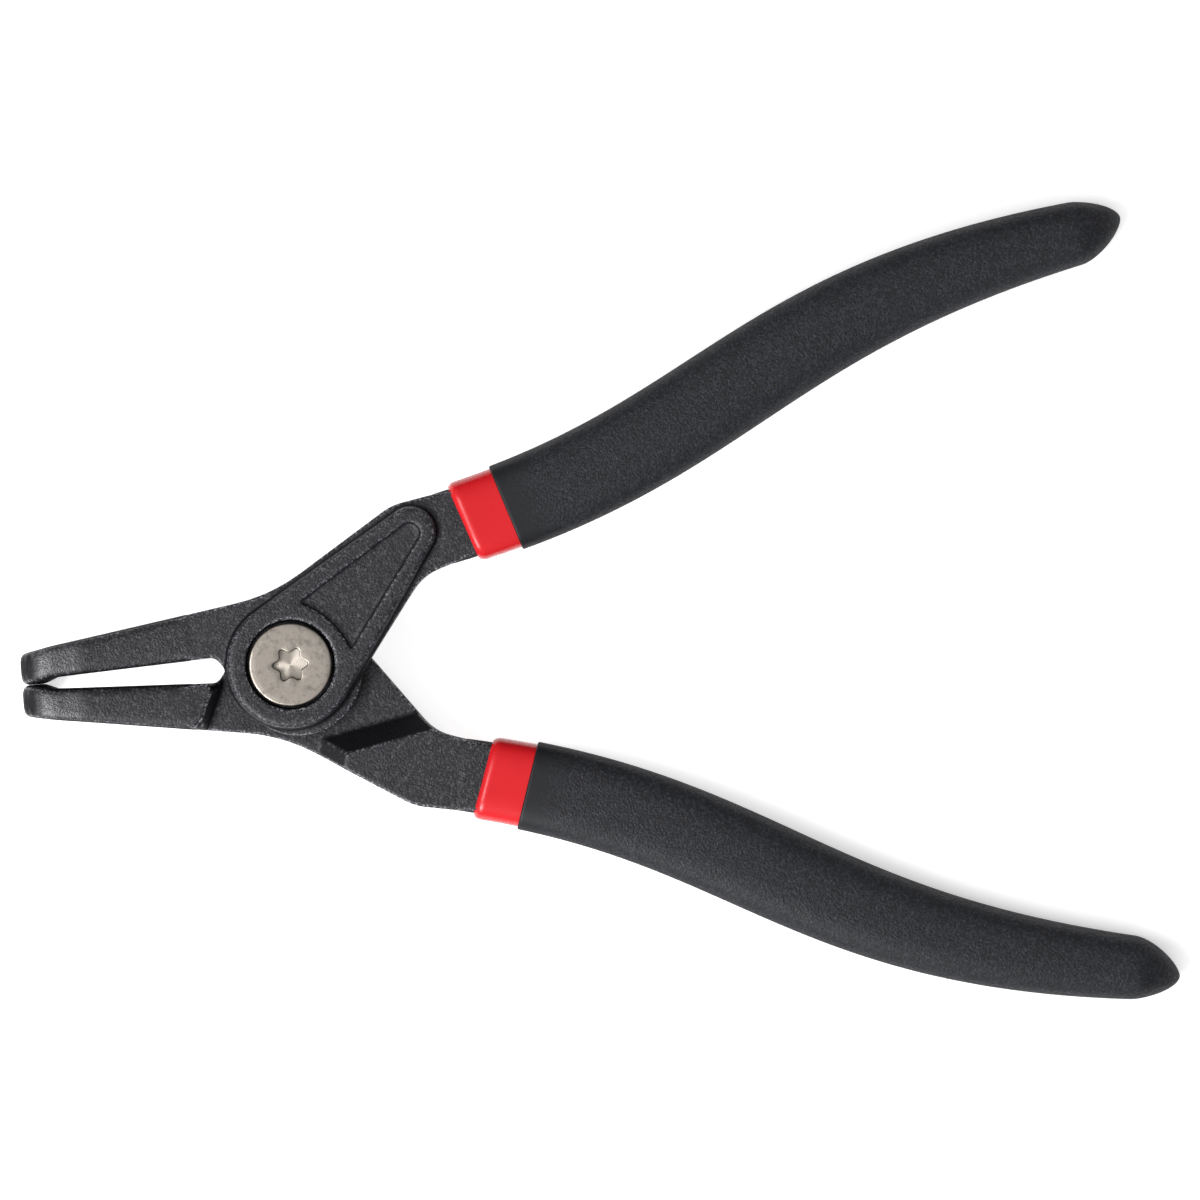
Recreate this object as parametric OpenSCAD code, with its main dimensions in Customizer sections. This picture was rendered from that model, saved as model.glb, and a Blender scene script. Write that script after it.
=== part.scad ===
// Circlip pliers for rings on shafts, with jaws bent down at a right angle.
// X runs along the tool towards the handle ends, Y towards the upper half, Z towards the screw head.
// The origin is on the pivot axis, in the plane of the lower half's back pad.

/* [Jaws] */
// Distance from the pivot axis to the front of the bent jaws
jaw_reach = 43.2; // [39:0.2:48]
// Half of the gap between the jaws beside the joint
slot_root_half = 2.05; // [1.6:0.05:2.6]
// Half of the gap between the jaws at their bend
slot_tip_half = 0.68; // [0.5:0.02:1]
// Half of the width over both jaws at their bend
jaw_tip_half = 5.1; // [4.6:0.1:5.6]
// Depth of the bent beak below the middle plane
beak_depth = 10.5; // [9:0.5:14]
// Outside radius of the bend
bend_r = 5; // [4:0.25:5.5]
// Distance from the middle plane of the tool to each tip pin
tip_offset = 1.9; // [1.8:0.05:2.2]
// Radius of the tip pins
tip_r = 0.9; // [0.6:0.05:1]
// Length of tip pin that stands out of the beak
tip_free = 3.2; // [2:0.2:5]
// Length of tip pin pressed into the beak
tip_seat = 5; // [3:0.5:6]

/* [Joint] */
// Thickness of the jaws and shanks
body_t = 8; // [7:0.25:9]
// Height of the joint pads over the shanks
pad_rise = 1.8; // [1.6:0.1:2.4]
// Radius of the lap disc around the pivot
lap_r = 10.6; // [10.2:0.1:10.8]
// Radius of the lap land that stands out on the handle side
land_r = 10.2; // [10:0.1:10.4]
// Distance of the land's middle from the pivot
land_shift = 1.7; // [1.4:0.1:1.8]
// Gap between the two lap faces
lap_gap = 0.1; // [0.04:0.02:0.2]
// Distance from the pivot to the far end of the pad
arm_len = 28.6; // [27.5:0.1:29.5]
// Direction of the pad from the pivot
arm_angle = 43.3; // [42:0.1:45]
// Radius of the far end of the pad
arm_end_r = 4.2; // [3.6:0.1:4.4]
// Depth of the sunken panel in the pad
panel_depth = 0.6; // [0.3:0.1:0.9]
// Rounding along the edges of the forged bar
edge_r = 1.1; // [0.6:0.1:1.3]

/* [Screw and spring] */
// Radius of the screw head
head_r = 6.6; // [6:0.05:6.9]
// Thickness of the screw head
head_t = 1.85; // [1.6:0.05:2]
// Radius of the plain screw shoulder that the upper half turns on
shoulder_r = 3.5; // [3.2:0.1:3.8]
// Radial running clearance between the shoulder and the upper half
running_gap = 0.03; // [0.01:0.01:0.08]
// Radius of the threaded end of the screw
thread_r = 3; // [2.5:0.1:3]
// Width over the points of the hexalobular drive recess
drive_w = 5.6; // [4.5:0.1:6]
// Depth of the drive recess
drive_depth = 2.2; // [1.5:0.1:2.6]
// Width across the flats of the nut
nut_w = 10; // [9:0.5:10]
// Thickness of the nut
nut_t = 2; // [1.6:0.1:2.2]
// Wire diameter of the return spring
wire_d = 1.2; // [0.9:0.05:1.2]
// Mean radius of the return spring
coil_r = 6.05; // [5.9:0.05:6.1]
// Number of coils in the return spring
coils = 2.25; // [1.75:0.25:2.25]

/* [Handles] */
// Distance from the pivot axis to the handle ends along the tool
handle_reach = 138; // [125:1:150]
// Half of the distance between the handle ends at rest
handle_spread = 60; // [56:0.5:64]
// Direction of the shank where it leaves the joint
shank_angle = 11.5; // [10:0.5:14]
// Direction of the handle at its end
end_angle = 7.6; // [4:0.2:12]
// Half width of the steel bar at the shank
bar_half = 5.75; // [5.5:0.05:5.9]
// Half width of the steel bar near its end
bar_end_half = 3.3; // [2.8:0.1:3.8]
// Loss of bar thickness on each side towards the handle end
bar_thinning = 0.5; // [0:0.05:0.6]

/* [Coatings] */
// Thickness of the inner coat
inner_coat = 0.95; // [0.8:0.05:1.2]
// Thickness of the outer coat over the inner one
outer_coat = 0.42; // [0.3:0.02:0.6]
// Part of the handle curve where the inner coat starts
collar_start = 0.036; // [0.028:0.002:0.04]
// Part of the handle curve where the outer coat starts
grip_start = 0.088; // [0.078:0.002:0.098]
// Slant of the inner coat's front edge, as a part of its width
dip_slant = 0.105; // [0:0.005:0.15]
// Length of the rounded end as a part of the handle curve
nose_part = 0.042; // [0.036:0.002:0.05]
// Shift of the nose towards the outside of the handle
nose_shift = 0.9; // [0:0.1:1.2]
// Squareness of the coated section
section_power = 3.8; // [3.4:0.1:4.4]

/* [Hidden] */

$fn = 64;

// Heights from the middle plane
half_t = body_t / 2;
pad_z = half_t + pad_rise;
land_z = half_t - 0.6;
lap_z = lap_gap / 2;
seat_z = pad_z - head_t - 0.1;
pocket_z = 2.05;
nut_z = nut_t + 0.5;

// Ramps that end each lap recess: direction, distance from the pivot at the lap face, and run
jaw_ramp = [204, 9.1, 1.3];
jaw_corner_ramp = [230, 2.1, 1.5];
shank_ramp = [79.1, 12.7, 3.4];
plough_ramp = [10, 5.9, 4.4];

// Radii of the spring pocket and of the screw head's counterbore
pocket_in = coil_r - wire_d / 2 - 0.5;
pocket_out = coil_r + wire_d / 2 + 0.5;
bore_r = shoulder_r + running_gap;
counterbore_r = head_r + 0.55;
leg_r = wire_d / 2 + 0.08;
leg_end = pocket_z + 0.85;

// Middle of each bent beak, its distance from the middle plane, and the radius of the pin inside it
beak_x = 2.45 - jaw_reach;
beak_gap = 0.1;
tip_seat_r = tip_r + 0.3;
arm_end = arm_len * [cos(arm_angle), sin(arm_angle)];

// Middle line and widths of the upper handle, as cubic curves
handle_from = [24, 19.3];
handle_to = [handle_reach, handle_spread];
handle_run = handle_reach - handle_from[0];
handle_line = [
    handle_from,
    handle_from + 0.45 * handle_run * [cos(shank_angle), sin(shank_angle)],
    handle_to - 0.543 * handle_run * [cos(end_angle), sin(end_angle)],
    handle_to
];
bar_widths = [bar_half, bar_half + 0.3, bar_half + 1.25, bar_end_half];
bar_to = 0.966;

// Point at part t of a cubic curve
function cubic(c, t) =
    pow(1 - t, 3) * c[0] + 3 * pow(1 - t, 2) * t * c[1] + 3 * (1 - t) * t * t * c[2] + pow(t, 3) * c[3];

// Vector of length one in the direction of v
function unit(v) = v / norm(v);

// Direction at part t of a cubic curve
function cubic_way(c, t) =
    unit(pow(1 - t, 2) * (c[1] - c[0]) + 2 * (1 - t) * t * (c[2] - c[1]) + t * t * (c[3] - c[2]));

// Direction square to v, on its left
function left_of(v) = [-v[1], v[0]];

// Arc of radius r that rounds the corner b between a and c
function corner_arc(a, b, c, r, steps = 5) =
    let (
        u = unit(a - b),
        v = unit(c - b),
        half = acos(u * v) / 2,
        middle = b + unit(u + v) * r / sin(half),
        from = unit(b + u * r / tan(half) - middle),
        to = unit(b + v * r / tan(half) - middle),
        turn = acos(from * to)
    )
    [for (k = [0:steps])
        let (a = turn * k / steps)
        middle + r * (sin(turn - a) * from + sin(a) * to) / sin(turn)];

// Outline through corners [x, y, r], where r rounds a corner and 0 leaves it sharp
function rounded(corners) =
    let (n = len(corners), at = [for (c = corners) [c[0], c[1]]])
    [for (i = [0:n - 1]) each
        corners[i][2] > 0
            ? corner_arc(at[(i + n - 1) % n], at[i], at[(i + 1) % n], corners[i][2])
            : [at[i]]];

// Loop of points on a squared ellipse
function squared_ellipse(half_w, half_h, sides = 24) =
    [for (i = [0:sides - 1])
        let (c = cos(360 * i / sides), d = sin(360 * i / sides))
        [
            sign(c) * pow(abs(c), 2 / section_power) * half_w,
            sign(d) * pow(abs(d), 2 / section_power) * half_h
        ]];

// Loop of 24 points on a box with rounded corners and slightly crowned sides
function rounded_box(half_w, half_h, r, crown = 0.05) =
    [for (k = [0:3])
        let (
            out = [cos(90 * k), sin(90 * k)],
            a = k % 2 == 0 ? half_w : half_h,
            b = k % 2 == 0 ? half_h : half_w,
            f = 0.29 * r,
            corner = [[a, b - r], [a - f, b - f], [a - r, b]],
            sides = [[a + crown, 0], [a + 0.7 * crown, (b - r) / 2], [(a - r) / 2, b + 0.7 * crown]]
        )
        each [for (p = [sides[0], sides[1], corner[0], corner[1], corner[2], sides[2]])
            p[0] * out + p[1] * left_of(out)]];

// A loop stood upright, across the direction way, with its left side slanted back
function upright(loop, middle, way, slant = 0) =
    [for (p = loop)
        let (at = middle + (left_of(way) - slant * way) * p[0])
        [at[0], at[1], p[1]]];

// Half width and half thickness of the steel bar at part t of the handle
function bar_w(t) = cubic(bar_widths, t);
function bar_h(t) = half_t + 0.03 - bar_thinning * t * t;

// Point beside the bar, side 1 being the outer edge
function bar_edge(t, side, grow) =
    cubic(handle_line, t) + side * (bar_w(t) + grow) * left_of(cubic_way(handle_line, t));

// Loop around the bar at part t, grown outwards
function bar_loop(t, grow, slant = 0) =
    upright(
        rounded_box(bar_w(t) + grow, bar_h(t) + grow, edge_r),
        cubic(handle_line, t),
        cubic_way(handle_line, t),
        slant
    );

// Rounder loop that closes the bar at part t
function bar_end_loop(t, grow) =
    upright(
        squared_ellipse(bar_w(t) + grow, bar_h(t) + grow),
        cubic(handle_line, t),
        cubic_way(handle_line, t)
    );

// Sides of the upper jaw at x
function slot_side(x) = slot_tip_half + (slot_root_half - slot_tip_half) * (x + jaw_reach) / (jaw_reach - 11.9);
function jaw_side(x) = jaw_tip_half + (11.3 - jaw_tip_half) * (x + jaw_reach) / (jaw_reach - 2.3);

// Loop around the jaw between two points [x, z] and the sides near and far, rounder if r is 0
function jaw_loop(top, bottom, near, far, r) =
    let (
        middle = (top + bottom) / 2,
        rise = unit(top - bottom),
        half_w = (far - near) / 2,
        half_h = norm(top - bottom) / 2
    )
    [for (p = r > 0 ? rounded_box(half_w, half_h, r) : squared_ellipse(half_w, half_h))
        [middle[0] + p[1] * rise[0], (near + far) / 2 - p[0], middle[1] + p[1] * rise[1]]];

// Outline of the plate around the joint, which runs into the jaw and into the handle bar
function plate_outline() =
    rounded([
        [-17.6, slot_side(-17.6) + 0.6, 0],
        [-15.4, slot_side(-15.4), 0],
        [-11.9, slot_root_half, 1.6],
        [-9.6, -1.2, 0],
        [0, -5, 0],
        [8.44, -6.16, 0],
        [22.2, 12.5, 8],
        concat(bar_edge(0.01, -1, 0), 0),
        concat(bar_edge(0.05, -1, -0.8), 0),
        concat(bar_edge(0.05, 1, -0.8), 0),
        concat(bar_edge(0.01, 1, 0), 0),
        [18, 24.1, 9],
        [-2.3, 11.3, 28],
        [-15.4, jaw_side(-15.4), 0],
        [-17.6, jaw_side(-17.6) - 0.6, 0]
    ]);

// Slant of the coats at part t, which fades out behind the outer coat's mouth
function coat_slant(t) = dip_slant * max(0, 1 - (t - collar_start) / 0.083);

// Loop around the coated handle at part t, grown over the steel bar and drawn in by lip
function coat_loop(t, grow, lip = 0) =
    let (
        u = max(0, (t - 1 + nose_part) / nose_part),
        f = sqrt(1 - u * u),
        way = cubic_way(handle_line, t)
    )
    upright(
        squared_ellipse(f * (bar_w(t) + grow) - lip, f * (bar_h(t) + grow) - lip),
        cubic(handle_line, t) + nose_shift * u * u * left_of(way),
        way,
        coat_slant(t)
    );

// Parts of the handle curve where the bar and the inner coat have loops
bar_steps = [for (k = [0:14]) collar_start + (bar_to - collar_start) * k / 14];

// Parts of the handle curve where both coats have loops, from the outer coat's mouth into the nose
function coat_steps(nose) =
    concat(
        [for (k = [0:14]) grip_start + (1 - nose_part - grip_start) * k / 14],
        [for (u = nose) 1 - nose_part + nose_part * u]
    );

// Solid skin through loops of equal length
module loft(loops) {
    n = len(loops[0]);
    m = len(loops);
    polyhedron(
        points = [for (loop = loops) each loop],
        faces = concat(
            [[for (i = [0:n - 1]) i]],
            [for (j = [0:m - 2], i = [0:n - 1], far = [0, 1])
                let (next = (i + 1) % n)
                far == 1
                    ? [j * n + i, (j + 1) * n + i, (j + 1) * n + next]
                    : [j * n + i, (j + 1) * n + next, j * n + next]],
            [[for (i = [n - 1:-1:0]) (m - 1) * n + i]]
        )
    );
}

// Outline of two circles joined by their common tangents, the second at distance d along X
module teardrop(r1, r2, d) {
    lean = asin((r1 - r2) / d);
    circle(r1);
    translate([d, 0]) circle(r2);
    polygon([
        r1 * [sin(lean), cos(lean)],
        [d, 0] + r2 * [sin(lean), cos(lean)],
        [d, 0] + r2 * [sin(lean), -cos(lean)],
        r1 * [sin(lean), -cos(lean)]
    ]);
}

// Space on the pivot's side of a ramp, which leans back by run over half of the bar's thickness
module ramp_space(ramp) {
    rotate([0, 0, ramp[0]])
        rotate([90, 0, 0])
            linear_extrude(120, center = true)
                polygon([
                    [-60, lap_z],
                    [ramp[1], lap_z],
                    [ramp[1] + ramp[2] * (half_t + 1) / half_t, -half_t - 1],
                    [-60, -half_t - 1]
                ]);
}

// Everything cut away under the lap of the upper half
module lap_space() {
    intersection() {
        union() {
            ramp_space(jaw_ramp);
            ramp_space(jaw_corner_ramp);
        }
        union() {
            ramp_space(shank_ramp);
            ramp_space(plough_ramp);
        }
    }
    translate([0, 0, -half_t - 1])
        cylinder(h = half_t + 1 + lap_z, r1 = lap_r + 3.4, r2 = lap_r + 0.7);
    translate([-14, -20, -half_t - 1])
        cube([44, 19, half_t + 1 + lap_z]);
}

// Lap land that stands out in a crescent beside the pad
module land() {
    rotate([0, 0, -47]) translate([land_shift, 0, 0]) cylinder(h = land_z, r = land_r);
}

// Raised pad around the pivot and along the arm
module pad() {
    hull()
        for (end = [[0, 0, lap_r - 0.13], [arm_end[0], arm_end[1], arm_end_r + 0.13]])
            translate([end[0], end[1], land_z - 0.4]) {
                cylinder(h = pad_z - 0.55 - land_z + 0.4, r1 = end[2], r2 = end[2] - 0.3, $fn = 40);
                cylinder(h = pad_z - land_z + 0.4, r = end[2] - 0.85, $fn = 40);
            }
}

// Sunken three-cornered panel in the pad
module panel() {
    translate([0, 0, pad_z - panel_depth])
        rotate([0, 0, arm_angle])
            linear_extrude(panel_depth + 1)
                difference() {
                    teardrop(7.1, 1.7, arm_len - 0.3);
                    translate([-5.5, 0]) circle(14.9);
                }
}

// Handle bar, swept along the handle curve from inside the plate to its rounded end
module handle_bar() {
    loft(concat(
        [bar_end_loop(-0.008, -0.6), bar_loop(0.014, 0)],
        [for (t = bar_steps) bar_loop(t, 0)],
        [bar_end_loop(bar_to + 0.008, -0.6), bar_end_loop(bar_to + 0.011, -1.4)]
    ));
}

// Joint of one half with its handle bar, pad up, lap face down
module half_body() {
    difference() {
        union() {
            translate([0, 0, -half_t]) linear_extrude(2 * half_t) polygon(plate_outline());
            cylinder(h = land_z + 0.2, r = lap_r);
            land();
            pad();
        }
        lap_space();
        panel();
    }
    handle_bar();
}

// Ring-shaped pocket for half of the spring, with a hole for the spring's leg
module spring_pocket(leg_angle) {
    difference() {
        translate([0, 0, -1]) cylinder(h = pocket_z + 1, r = pocket_out);
        translate([0, 0, -2]) cylinder(h = pocket_z + 3, r = pocket_in);
    }
    rotate([0, 0, leg_angle]) translate([coil_r, 0, 0]) cylinder(h = leg_end + 0.1, r = leg_r, $fn = 24);
}

// Upper jaw, swept from inside the plate along its length, round the bend and down the beak
module jaw() {
    top = half_t + 0.03;
    under = [bend_r - jaw_reach + 1.25, -3.9];
    loft(concat(
        [
            jaw_loop([-14.6, top - 0.5], [-14.6, 0.5 - top], slot_side(-14.6) + 0.5, jaw_side(-14.6) - 0.5, 0),
            jaw_loop([-16, top], [-16, -top], slot_side(-16), jaw_side(-16), edge_r)
        ],
        [for (x = [-18, -24, -30])
            let (thinner = (top - 2.2) * (x + 18) / (under[0] + 18))
            jaw_loop([x, top], [x, thinner - top], slot_side(x), jaw_side(x), edge_r)],
        [for (a = [0:18:90])
            let (
                out = [bend_r - jaw_reach, top - bend_r] + bend_r * [-sin(a), cos(a)],
                inside = under + 1.7 * [-sin(a), cos(a)],
                x = (out[0] + inside[0]) / 2
            )
            jaw_loop(
                out,
                inside,
                slot_side(x) * (1 - sin(a)) + beak_gap * sin(a),
                jaw_side(x) - 0.3 * sin(a),
                edge_r
            )],
        [for (level = [[0.6, 2.25, tip_offset + 0.3], [0.955, 1.95, tip_offset], [1, 1.65, tip_offset + 0.1]])
            let (half_w = level[2] - beak_gap)
            jaw_loop(
                [beak_x - level[1], -beak_depth * level[0]],
                [beak_x + level[1], -beak_depth * level[0]],
                beak_gap,
                beak_gap + 2 * half_w,
                0
            )]
    ));
}

// Bore for the thicker end of a tip pin
module tip_bore(side) {
    translate([beak_x, side * tip_offset, -beak_depth - 1])
        cylinder(h = tip_seat + 1.05, r = tip_seat_r + 0.01);
}

// Everything is drawn about the middle plane and lifted so that the back pad lies at zero
module in_frame() {
    translate([0, 0, pad_z]) children();
}

// Lower half: jaw, lap and handle bar forged in one
module lower_forging() {
    color("#343438")
        in_frame()
            difference() {
                union() {
                    rotate([180, 0, 0]) half_body();
                    mirror([0, 1, 0]) jaw();
                }
                rotate([180, 0, 0]) spring_pocket(0);
                translate([0, 0, -pocket_z]) cylinder(h = 10, r = bore_r);
                translate([0, 0, -20]) cylinder(h = 20, r = thread_r + 0.02);
                translate([0, 0, -pad_z - 1])
                    rotate([0, 0, 30])
                        cylinder(h = nut_z + 1, r = (nut_w + 0.1) / sqrt(3), $fn = 6);
                tip_bore(-1);
            }
}

// Upper half: the same forging turned over, with its own beak
module upper_forging() {
    color("#38383c")
        in_frame()
            difference() {
                union() {
                    half_body();
                    jaw();
                }
                spring_pocket(360 * coils);
                cylinder(h = 20, r = bore_r);
                translate([0, 0, seat_z]) cylinder(h = 10, r = counterbore_r);
                tip_bore(1);
            }
}

// Hardened pin with a small lead at its free end and a thicker end in the beak
module tip_pin(side) {
    translate([beak_x, side * tip_offset, -beak_depth - tip_free]) {
        cylinder(h = 0.25, r1 = tip_r - 0.2, r2 = tip_r);
        translate([0, 0, 0.25]) cylinder(h = tip_free - 0.25, r = tip_r);
        translate([0, 0, tip_free]) cylinder(h = tip_seat, r = tip_seat_r);
    }
}

// Tip pin of the lower jaw
module lower_tip() {
    color("#8f9094") in_frame() tip_pin(-1);
}

// Tip pin of the upper jaw
module upper_tip() {
    color("#8f9094") in_frame() tip_pin(1);
}

// Six-lobed outline of the drive recess
module drive_outline() {
    polygon([for (a = [0:5:355])
        let (lobe = pow((1 + cos(6 * a)) / 2, 1.25))
        drive_w / 2 * (0.715 + 0.285 * lobe) * [cos(a), sin(a)]]);
}

// Shoulder screw: flat head, plain shoulder in both halves, threaded end in the nut
module pivot_screw() {
    top = seat_z + lap_z + head_t;
    color("#9a948c")
        in_frame()
            difference() {
                union() {
                    translate([0, 0, seat_z + lap_z]) cylinder(h = head_t - 0.3, r = head_r);
                    translate([0, 0, top - 0.3]) cylinder(h = 0.3, r1 = head_r, r2 = head_r - 0.3);
                    translate([0, 0, -pocket_z]) cylinder(h = pocket_z + seat_z + 0.5, r = shoulder_r);
                    translate([0, 0, 0.6 - pad_z]) cylinder(h = pad_z, r = thread_r);
                }
                translate([0, 0, top - drive_depth]) linear_extrude(drive_depth + 1) drive_outline();
                translate([0, 0, top - drive_depth - 0.8])
                    cylinder(h = 0.81, r1 = 0.2, r2 = drive_w * 0.34);
            }
}

// Nut sunk in a six-sided pocket in the lower half's back
module pivot_nut() {
    color("#6f6f72")
        in_frame()
            translate([0, 0, 0.5 - pad_z])
                difference() {
                    rotate([0, 0, 30]) cylinder(h = nut_t - 0.02, r = nut_w / sqrt(3), $fn = 6);
                    translate([0, 0, -1]) cylinder(h = nut_t + 2, r = thread_r + 0.02);
                }
}

// Loop around the spring wire at an angle and height, across the direction way
function wire_loop(angle, z, way) =
    let (out = [cos(angle), sin(angle), 0], over = cross(unit(way), out))
    [for (i = [0:7]) coil_r * out + [0, 0, z] + wire_d / 2 * (cos(45 * i) * out + sin(45 * i) * over)];

// Torsion spring hidden in the lap, with a leg along the pivot at each end
module return_spring() {
    rise = pocket_z - 0.06 - wire_d / 2;
    steps = ceil(18 * coils);
    turn = 360 * coils;
    color("#b4b4b0")
        in_frame()
            loft(concat(
                [wire_loop(0, -leg_end, [0, 0, 1]), wire_loop(0, -rise, [0, 1, 1])],
                [for (k = [1:steps - 1])
                    let (a = turn * k / steps)
                    wire_loop(a, -rise + 2 * rise * k / steps, [-sin(a), cos(a), 0])],
                [wire_loop(turn, rise, [-sin(turn), cos(turn), 1]), wire_loop(turn, leg_end, [0, 0, 1])]
            ));
}

// Inner dipped coat, a sock over the bar that shows as a collar at the front of each handle
module inner_coat_shape() {
    loft(concat(
        [bar_end_loop(bar_to + 0.0113, -1.35), bar_end_loop(bar_to + 0.0083, -0.56)],
        [for (k = [len(bar_steps) - 1:-1:1]) bar_loop(bar_steps[k], 0.02)],
        [bar_loop(collar_start, 0.05, dip_slant)],
        [
            coat_loop(collar_start, inner_coat, 0.5),
            coat_loop(collar_start + 0.003, inner_coat, 0.14),
            coat_loop(collar_start + 0.008, inner_coat)
        ],
        [for (t = coat_steps([0.3, 0.55, 0.75, 0.86])) coat_loop(t, inner_coat)]
    ));
}

// Outer dipped coat, a sock over the inner one
module grip_shape() {
    inside = coat_steps([0.3, 0.55, 0.75, 0.88]);
    outside = coat_steps([0.3, 0.55, 0.75, 0.9, 0.985]);
    thick = inner_coat + outer_coat;
    loft(concat(
        [for (k = [len(inside) - 1:-1:0]) coat_loop(inside[k], inner_coat + 0.02)],
        [
            coat_loop(grip_start, thick, 0.3),
            coat_loop(grip_start + 0.003, thick, 0.08),
            coat_loop(grip_start + 0.008, thick)
        ],
        [for (k = [1:len(outside) - 1]) coat_loop(outside[k], thick)]
    ));
}

// Inner coat of the lower handle
module lower_inner_coat() {
    color("#d8363c") in_frame() rotate([180, 0, 0]) inner_coat_shape();
}

// Inner coat of the upper handle
module upper_inner_coat() {
    color("#d8363c") in_frame() inner_coat_shape();
}

// Outer coat of the lower handle
module lower_grip() {
    color("#2b2b2f") in_frame() rotate([180, 0, 0]) grip_shape();
}

// Outer coat of the upper handle
module upper_grip() {
    color("#2b2b2f") in_frame() grip_shape();
}

lower_forging();
upper_forging();
lower_tip();
upper_tip();
pivot_screw();
pivot_nut();
return_spring();
lower_inner_coat();
upper_inner_coat();
lower_grip();
upper_grip();
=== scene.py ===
"""Circlip pliers with bent jaws: the visible pieces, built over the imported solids."""

import math

import bpy
import numpy as np
from bpy.props import FloatProperty, FloatVectorProperty, IntProperty, PointerProperty
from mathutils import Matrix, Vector


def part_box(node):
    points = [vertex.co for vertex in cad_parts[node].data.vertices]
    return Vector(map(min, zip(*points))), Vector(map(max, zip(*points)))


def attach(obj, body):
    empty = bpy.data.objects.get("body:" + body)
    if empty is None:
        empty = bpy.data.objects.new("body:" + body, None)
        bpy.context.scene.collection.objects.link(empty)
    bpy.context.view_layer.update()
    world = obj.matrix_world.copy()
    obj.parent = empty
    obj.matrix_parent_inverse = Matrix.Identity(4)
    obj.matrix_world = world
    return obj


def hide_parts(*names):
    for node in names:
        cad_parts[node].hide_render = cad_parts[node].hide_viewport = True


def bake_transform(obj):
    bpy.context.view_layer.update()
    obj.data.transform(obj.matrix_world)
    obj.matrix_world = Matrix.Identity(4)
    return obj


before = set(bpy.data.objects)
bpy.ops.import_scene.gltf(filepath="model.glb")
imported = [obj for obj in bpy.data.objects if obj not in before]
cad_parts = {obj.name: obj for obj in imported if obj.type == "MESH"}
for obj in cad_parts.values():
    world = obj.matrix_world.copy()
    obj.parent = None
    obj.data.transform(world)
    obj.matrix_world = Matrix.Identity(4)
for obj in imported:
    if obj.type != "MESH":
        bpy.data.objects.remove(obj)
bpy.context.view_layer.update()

bl_info = {
    "name": "Circlip pliers",
    "version": (1, 0, 0),
    "blender": (4, 5, 0),
    "location": "View3D > Sidebar > Pliers",
    "description": "Builds the visible pieces of circlip pliers over their solids",
    "category": "Object",
}

# Shapes are drawn in millimetres about the pivot and the middle plane, as the solids are, then put in metres
MM = 0.001
MIDDLE = 5.8

# Middle line of the upper handle and half width of its steel bar, as cubic curves
HANDLE_RUN = 114.0
HANDLE_FROM = np.array([24.0, 19.3])
HANDLE_TO = np.array([138.0, 60.0])
SHANK_WAY = np.array([math.cos(math.radians(11.5)), math.sin(math.radians(11.5))])
END_WAY = np.array([math.cos(math.radians(7.6)), math.sin(math.radians(7.6))])
HANDLE_LINE = np.array([
    HANDLE_FROM,
    HANDLE_FROM + 0.45 * HANDLE_RUN * SHANK_WAY,
    HANDLE_TO - 0.543 * HANDLE_RUN * END_WAY,
    HANDLE_TO,
])
BAR_WIDTHS = np.array([5.75, 6.05, 7.0, 3.3])
BAR_HALF_HEIGHT = 4.03
BAR_THINNING = 0.5

# Where the bar and its coats start and end, and how long the rounded nose is, as parts of the handle
BAR_END = 0.966
COLLAR_START = 0.036
GRIP_START = 0.088
NOSE = 0.042
# How far the nose leans outwards, and how the coats narrow towards its point
NOSE_SHIFT = 0.9
NOSE_POWER = 1.6
NOSE_FULLNESS = 0.6
# The dip lines slant forwards on the outer side, and the slant fades out along this part of the handle
DIP_SLANT = 0.105
SLANT_FADE = 0.083
# About how many millimetres of handle are in one unit of its curve, at the front edge of each coat
COLLAR_RUN = 154.0
GRIP_RUN = 140.0
# Power of the coats' cross section: squarest at the front, and rounder from part 0.1 to part 0.5
FRONT_SQUARENESS = 3.8
REAR_SQUARENESS = 3.05
ROUNDER_FROM = 0.1
ROUNDER_OVER = 0.4

# Thickness of the inner coat, of both coats, and the gap between the two
INNER_COAT = 0.95
BOTH_COATS = 1.37
COAT_GAP = 0.02

# Place of the tip pins and the height of the screw's head
BEAK_X = -40.75
TIP_OFFSET = 1.9
HEAD_TOP = 5.75

# A forged half is thinned to about this many triangles
MOST_TRIANGLES = 190000

# Numbers of a Mix node's colour sockets, because its other types have sockets of the same names
MIX_SHARE = 0
MIX_FROM = 6
MIX_TO = 7
MIX_COLOUR = 2

# Name, body and side of each half
HALVES = (("lower", "lower_half", -1), ("upper", "upper_half", 1))


def linear(code):
    """Linear colour of an sRGB hex value."""
    shares = [int(code[i:i + 2], 16) / 255 for i in (0, 2, 4)]
    return tuple(c / 12.92 if c <= 0.04045 else ((c + 0.055) / 1.055) ** 2.4 for c in shares)


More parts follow.
